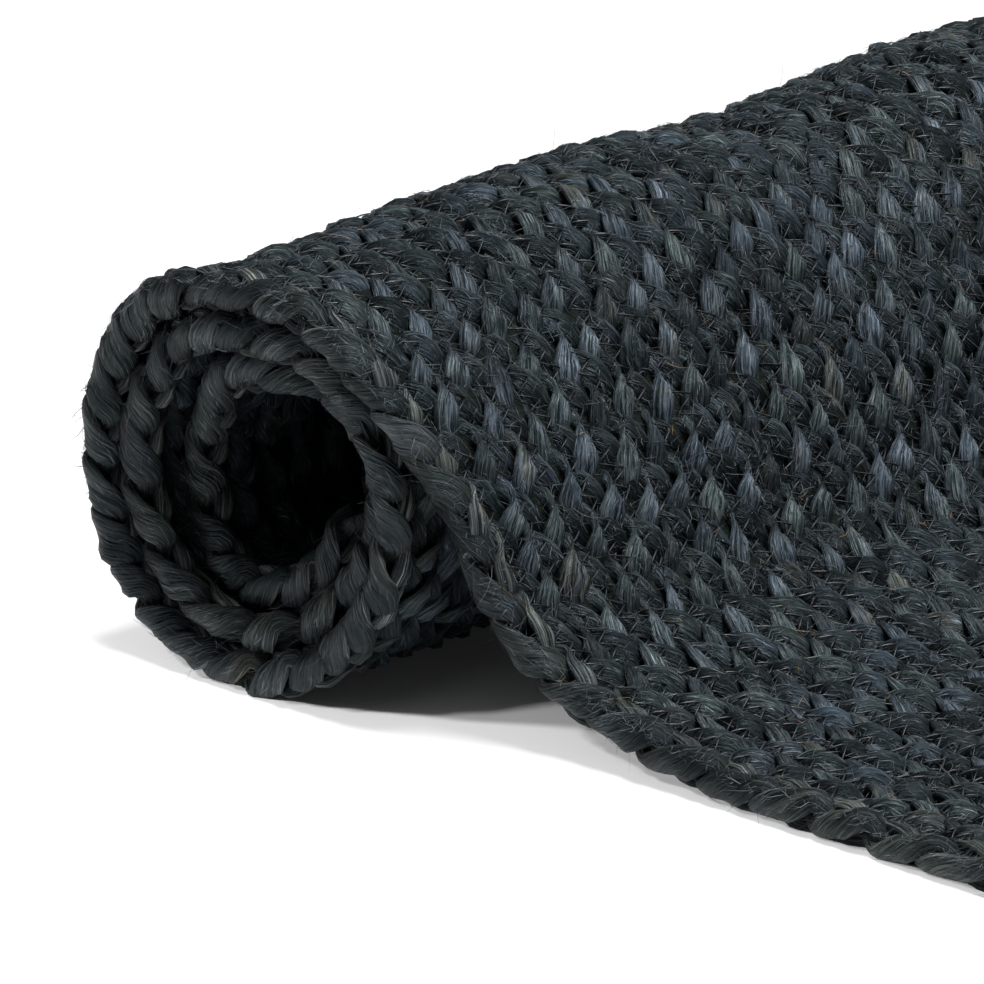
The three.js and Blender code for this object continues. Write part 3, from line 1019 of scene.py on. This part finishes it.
class RUG_OT_loose_fibres(bpy.types.Operator):
    """Scatter the loose fibres that stand out of the braids, every third of them at the front edge"""

    bl_idname = "rug.loose_fibres"
    bl_label = "Loose fibres"

    def execute(self, context):
        sizes, sheet, colours = parts_of(context)
        chance = np.random.default_rng(sizes.seed + 401)
        material = hair_material(colours)
        count = sizes.hairs
        edge = count // 3
        face = count - edge
        last_across, last_along = sizes.width - RIM, sizes.length - RIM
        across = np.concatenate([chance.uniform(0.0002, 0.003, edge),
                                 np.abs(chance.normal(0, 0.14, face)).clip(RIM, last_across)])
        along = np.concatenate([chance.uniform(RIM, last_along, edge),
                                chance.uniform(sheet.top - FAR_START, last_along, face)])
        side = np.concatenate([chance.choice([-1.0, 1.0], edge) * chance.uniform(0, 1, edge),
                               np.ones(face)])
        middle, run, out = sheet.at(across, along)
        root = middle + out * (0.0030 * side)[:, None]
        cross = cross_way(run)
        lean = chance.normal(0, 1, (count, 3))
        rising = np.where(np.arange(count) < edge, 0.30, 0.12)
        heading = (run * lean[:, :1] * 0.9 + cross * (lean[:, 1:2] * 0.5)
                   + out * (side * (rising + np.abs(lean[:, 2]) * 0.22))[:, None])
        heading[:edge] -= cross[:edge] * chance.uniform(0.2, 1.3, edge)[:, None]
        heading /= np.linalg.norm(heading, axis=1)[:, None]
        bend = np.cross(heading, chance.normal(0, 1, (count, 3)))
        reach = sizes.hair_length * chance.uniform(0.10, 1.0, count) ** 2.0
        reach[:edge] *= 0.55
        share = np.linspace(0, 1, 5)
        curl = chance.uniform(0.1, 0.55, count)
        centre = (root[:, None] + heading[:, None] * (reach[:, None] * share)[..., None]
                  + bend[:, None] * ((reach * curl)[:, None] * share**2)[..., None])
        centre[..., 2] = np.maximum(centre[..., 2], 0.0002)
        wide = bend / np.linalg.norm(bend, axis=1)[:, None]
        wide = np.broadcast_to(wide[:, None], centre.shape)
        high = np.cross(np.broadcast_to(heading[:, None], centre.shape), wide)
        pile = Pile()
        add_hairs(pile, chance, centre, wide, high, sizes.hair / 2 * (1 - 0.7 * share), 1.2)
        settle(pile.build("loose_fibres", material), "braided_field")
        return {"FINISHED"}


def face_fuzz(pile, sizes, sheet, surface, chance, near, longest, points):
    """Fibres that lie over the seams, and a fifth as many where they are seen from farther off."""
    far = near // 5
    count = near + far
    seam = np.concatenate([chance.integers(0, CLOSE_ROWS, near),
                           chance.integers(CLOSE_ROWS, sizes.rows, far)])
    across = seam * sheet.pitch + chance.normal(0, 0.0022, count)
    across = across.clip(0.0008, sizes.width - 0.0008)
    end = np.where(seam < CLOSE_ROWS, sheet.top + FUZZ_REACH - across, sizes.length - RIM)
    along = sheet.top - FUZZ_START + chance.uniform(0, 1, count) * (end - sheet.top + FUZZ_START)
    share = np.linspace(0, 1, points)
    reach = chance.uniform(0.0012, longest, count)[:, None] * share
    bend = chance.normal(0, 1.1, count)
    heading = chance.uniform(0, TAU, count)[:, None] + bend[:, None] * share
    middle, _, out = sheet.at(across[:, None] + reach * np.sin(heading),
                              along[:, None] + reach * np.cos(heading))
    height = surface.height(middle, out)
    lift = chance.uniform(0.00005, 0.0011, (count, 1)) * share**1.5
    height = np.maximum(height, height[:, :1] - MOST_DROP) + sizes.fuzz_hair * SUNK + lift
    centre = middle + out * height[..., None]
    half = sizes.fuzz_hair / 2 * (1 - 0.2 * share)
    add_hairs(pile, chance, centre, wide_way(centre, out), out, half, 1.3)


def edge_fuzz(pile, sizes, sheet, surface, chance):
    """Longer fine fibres that hug the round of the front edge braid."""
    count = sizes.edge_fuzz
    share = np.array([0.0, 0.35, 0.7, 1.0])
    reach = chance.uniform(0.003, 0.015, count)[:, None] * share
    heading = chance.normal(0.65, 0.3, count)[:, None] + chance.normal(0, 0.5, count)[:, None] * share
    along = chance.uniform(0.004, sheet.seen_to(0.0), count)
    bearing = chance.uniform(-1.7, 1.4, count)[:, None] + reach * np.sin(heading) / EDGE_ROUND
    middle, _, out = sheet.at(np.full(bearing.shape, sheet.pitch / 2),
                              along[:, None] + reach * np.cos(heading))
    away = out * np.sin(bearing)[..., None] - cross_way(out) * np.cos(bearing)[..., None]
    starts = (middle + away * EDGE_CLEAR).reshape(-1, 3)
    gap = surface.touch(starts, -away.reshape(-1, 3), EDGE_CLEAR - 0.001)
    radius = EDGE_CLEAR - gap.reshape(bearing.shape)
    radius = np.maximum(radius, radius[:, :1] - MOST_DROP)
    radius = radius + 0.00005 + chance.uniform(0.0, 0.0016, (count, 1)) * share**2
    centre = middle + away * radius[..., None]
    half = sizes.hair / 2 * (0.75 - 0.3 * share)
    add_hairs(pile, chance, centre, wide_way(centre, out), out, half, 1.2, tint=(1, 0.45, 1))


class RUG_OT_fuzz(bpy.types.Operator):
    """Lay the short frayed fibres over the seams, the leaves beside them and the front edge"""

    bl_idname = "rug.fuzz"
    bl_label = "Frayed fibres"

    def execute(self, context):
        sizes, sheet, colours = parts_of(context)
        surface = BraidSurface(context)
        chance = np.random.default_rng(sizes.seed + 501)
        pile = Pile()
        for near, longest, points in ((sizes.fuzz, 0.0062, 3), (sizes.short_fuzz, 0.0036, 2)):
            face_fuzz(pile, sizes, sheet, surface, chance, near, longest, points)
        edge_fuzz(pile, sizes, sheet, surface, chance)
        piece = pile.build("loose_fuzz", bpy.data.materials["loose_fibre"])
        settle(piece, "braided_field")
        return {"FINISHED"}


class RUG_OT_core(bpy.types.Operator):
    """Lay the thin packed middle that the braids close round"""

    bl_idname = "rug.core"
    bl_label = "Packed middle"

    def execute(self, context):
        sizes, sheet, colours = parts_of(context)
        bend_end = sheet.top + 0.2
        across = np.linspace(RIM, sizes.width - RIM, 13)
        along = stations([(RIM, bend_end, 0.004), (bend_end, sizes.length - RIM, 0.02)])
        grid_across, grid_along = np.meshgrid(across, along)
        upper, lower = (sheet.place(grid_across, grid_along, np.full(grid_across.shape, height))
                        for height in (sizes.core / 2, -sizes.core / 2))
        pile = Pile()
        rings = np.concatenate([upper, lower[:, ::-1]], axis=1)[None]
        pile.tubes(rings, along[None], np.zeros((1, len(along), 3)))
        piece = pile.build("packed_middle", core_material(colours))
        settle(piece, "braided_field")
        others = pieces_named(context, "braid_", "seam_", "loose_")
        return {"FINISHED"}


# ---------------------------------------------------------------- floor, light and camera


def look(away):
    """Rotation of a lamp or camera that looks against the given direction, upright."""
    flat = math.hypot(away[0], away[1])
    return (math.pi / 2 - math.atan2(away[2], flat), 0.0, math.atan2(away[0], -away[1]))


def add_floor(scene, side, material):
    half = side / 2
    corners = [(-half, -half, 0), (half, -half, 0), (half, half, 0), (-half, half, 0)]
    mesh = bpy.data.meshes.new("floor")
    mesh.from_pydata(corners, [], [(0, 1, 2, 3)])
    mesh.materials.append(material)
    floor = bpy.data.objects.new("floor", mesh)
    scene.collection.objects.link(floor)
    return floor


def add_sky(scene, strength):
    """Even white light from all around."""
    scene.world = bpy.data.worlds.new("soft_room")
    scene.world.use_nodes = True
    sky = next(n for n in scene.world.node_tree.nodes if n.type == "BACKGROUND")
    sky.inputs["Color"].default_value = (1.0, 1.0, 1.0, 1.0)
    sky.inputs["Strength"].default_value = strength


def add_lamp(scene, lamp, lit_pieces):
    """A square lamp that lights only the pieces given."""
    light = bpy.data.lights.new(lamp.name, "AREA")
    light.shape = "SQUARE"
    light.size = lamp.side
    light.energy = lamp.watts
    made = bpy.data.objects.new(lamp.name, light)
    made.location = lamp.place
    made.rotation_euler = look(np.array(lamp.place) - np.array(lamp.aim))
    scene.collection.objects.link(made)
    lit = bpy.data.collections.new(lamp.name)
    for piece in lit_pieces:
        lit.objects.link(piece)
    made.light_linking.receiver_collection = lit
    if not lamp.shadows:
        made.light_linking.blocker_collection = lit


def add_camera(scene, stage):
    data = bpy.data.cameras.new("camera")
    data.sensor_width = SENSOR
    data.lens = SENSOR * stage.distance / stage.picture
    data.clip_start = 0.05
    data.clip_end = 50.0
    camera = bpy.data.objects.new("camera", data)
    turn, rise = math.radians(stage.azimuth), math.radians(stage.elevation)
    away = np.array([math.sin(turn) * math.cos(rise), -math.cos(turn) * math.cos(rise), math.sin(rise)])
    camera.location = np.array(stage.target) + away * stage.distance
    camera.rotation_euler = look(away)
    scene.collection.objects.link(camera)
    scene.camera = camera


class RUG_OT_stage(bpy.types.Operator):
    """Set up the pale floor, the soft light and the camera"""

    bl_idname = "rug.stage"
    bl_label = "Floor, light and camera"

    def execute(self, context):
        scene = context.scene
        rug = [o for o in scene.objects if o.type == "MESH"]
        floor = add_floor(scene, scene.rug_stage.floor_side, floor_material(scene.rug_colours))
        add_sky(scene, SKY_STRENGTH)
        for lamp in RUG_LAMPS:
            add_lamp(scene, lamp, rug)
        for lamp in FLOOR_LAMPS:
            add_lamp(scene, lamp, [floor])
        add_camera(scene, scene.rug_stage)
        scene.view_settings.view_transform = "Standard"
        return {"FINISHED"}


class RUG_PT_panel(bpy.types.Panel):
    """Sizes and steps of the rug"""

    bl_idname = "RUG_PT_panel"
    bl_label = "Braided rug"
    bl_space_type = "VIEW_3D"
    bl_region_type = "UI"
    bl_category = "Rug"

    def draw(self, context):
        for group in (context.scene.rug_sizes, context.scene.rug_colours, context.scene.rug_stage):
            box = self.layout.box()
            for name in group.__annotations__:
                box.prop(group, name)
        for step in STEPS:
            self.layout.operator(step.bl_idname)


STEPS = (RUG_OT_edge_braids, RUG_OT_field_rows, RUG_OT_end_braids, RUG_OT_seams, RUG_OT_loose_fibres,
         RUG_OT_fuzz, RUG_OT_core, RUG_OT_stage)
CLASSES = (RugSizes, RugColours, RugStage, *STEPS, RUG_PT_panel)


def register():
    for cls in CLASSES:
        bpy.utils.register_class(cls)
    bpy.types.Scene.rug_sizes = PointerProperty(type=RugSizes)
    bpy.types.Scene.rug_colours = PointerProperty(type=RugColours)
    bpy.types.Scene.rug_stage = PointerProperty(type=RugStage)


def unregister():
    del bpy.types.Scene.rug_stage
    del bpy.types.Scene.rug_colours
    del bpy.types.Scene.rug_sizes
    for cls in reversed(CLASSES):
        bpy.utils.unregister_class(cls)


def main():
    register()
    bpy.ops.rug.edge_braids()
    bpy.ops.rug.field_rows()
    bpy.ops.rug.end_braids()
    bpy.ops.rug.seams()
    bpy.ops.rug.loose_fibres()
    bpy.ops.rug.fuzz()
    bpy.ops.rug.core()
    bpy.ops.rug.stage()


if __name__ == "__main__":
    main()
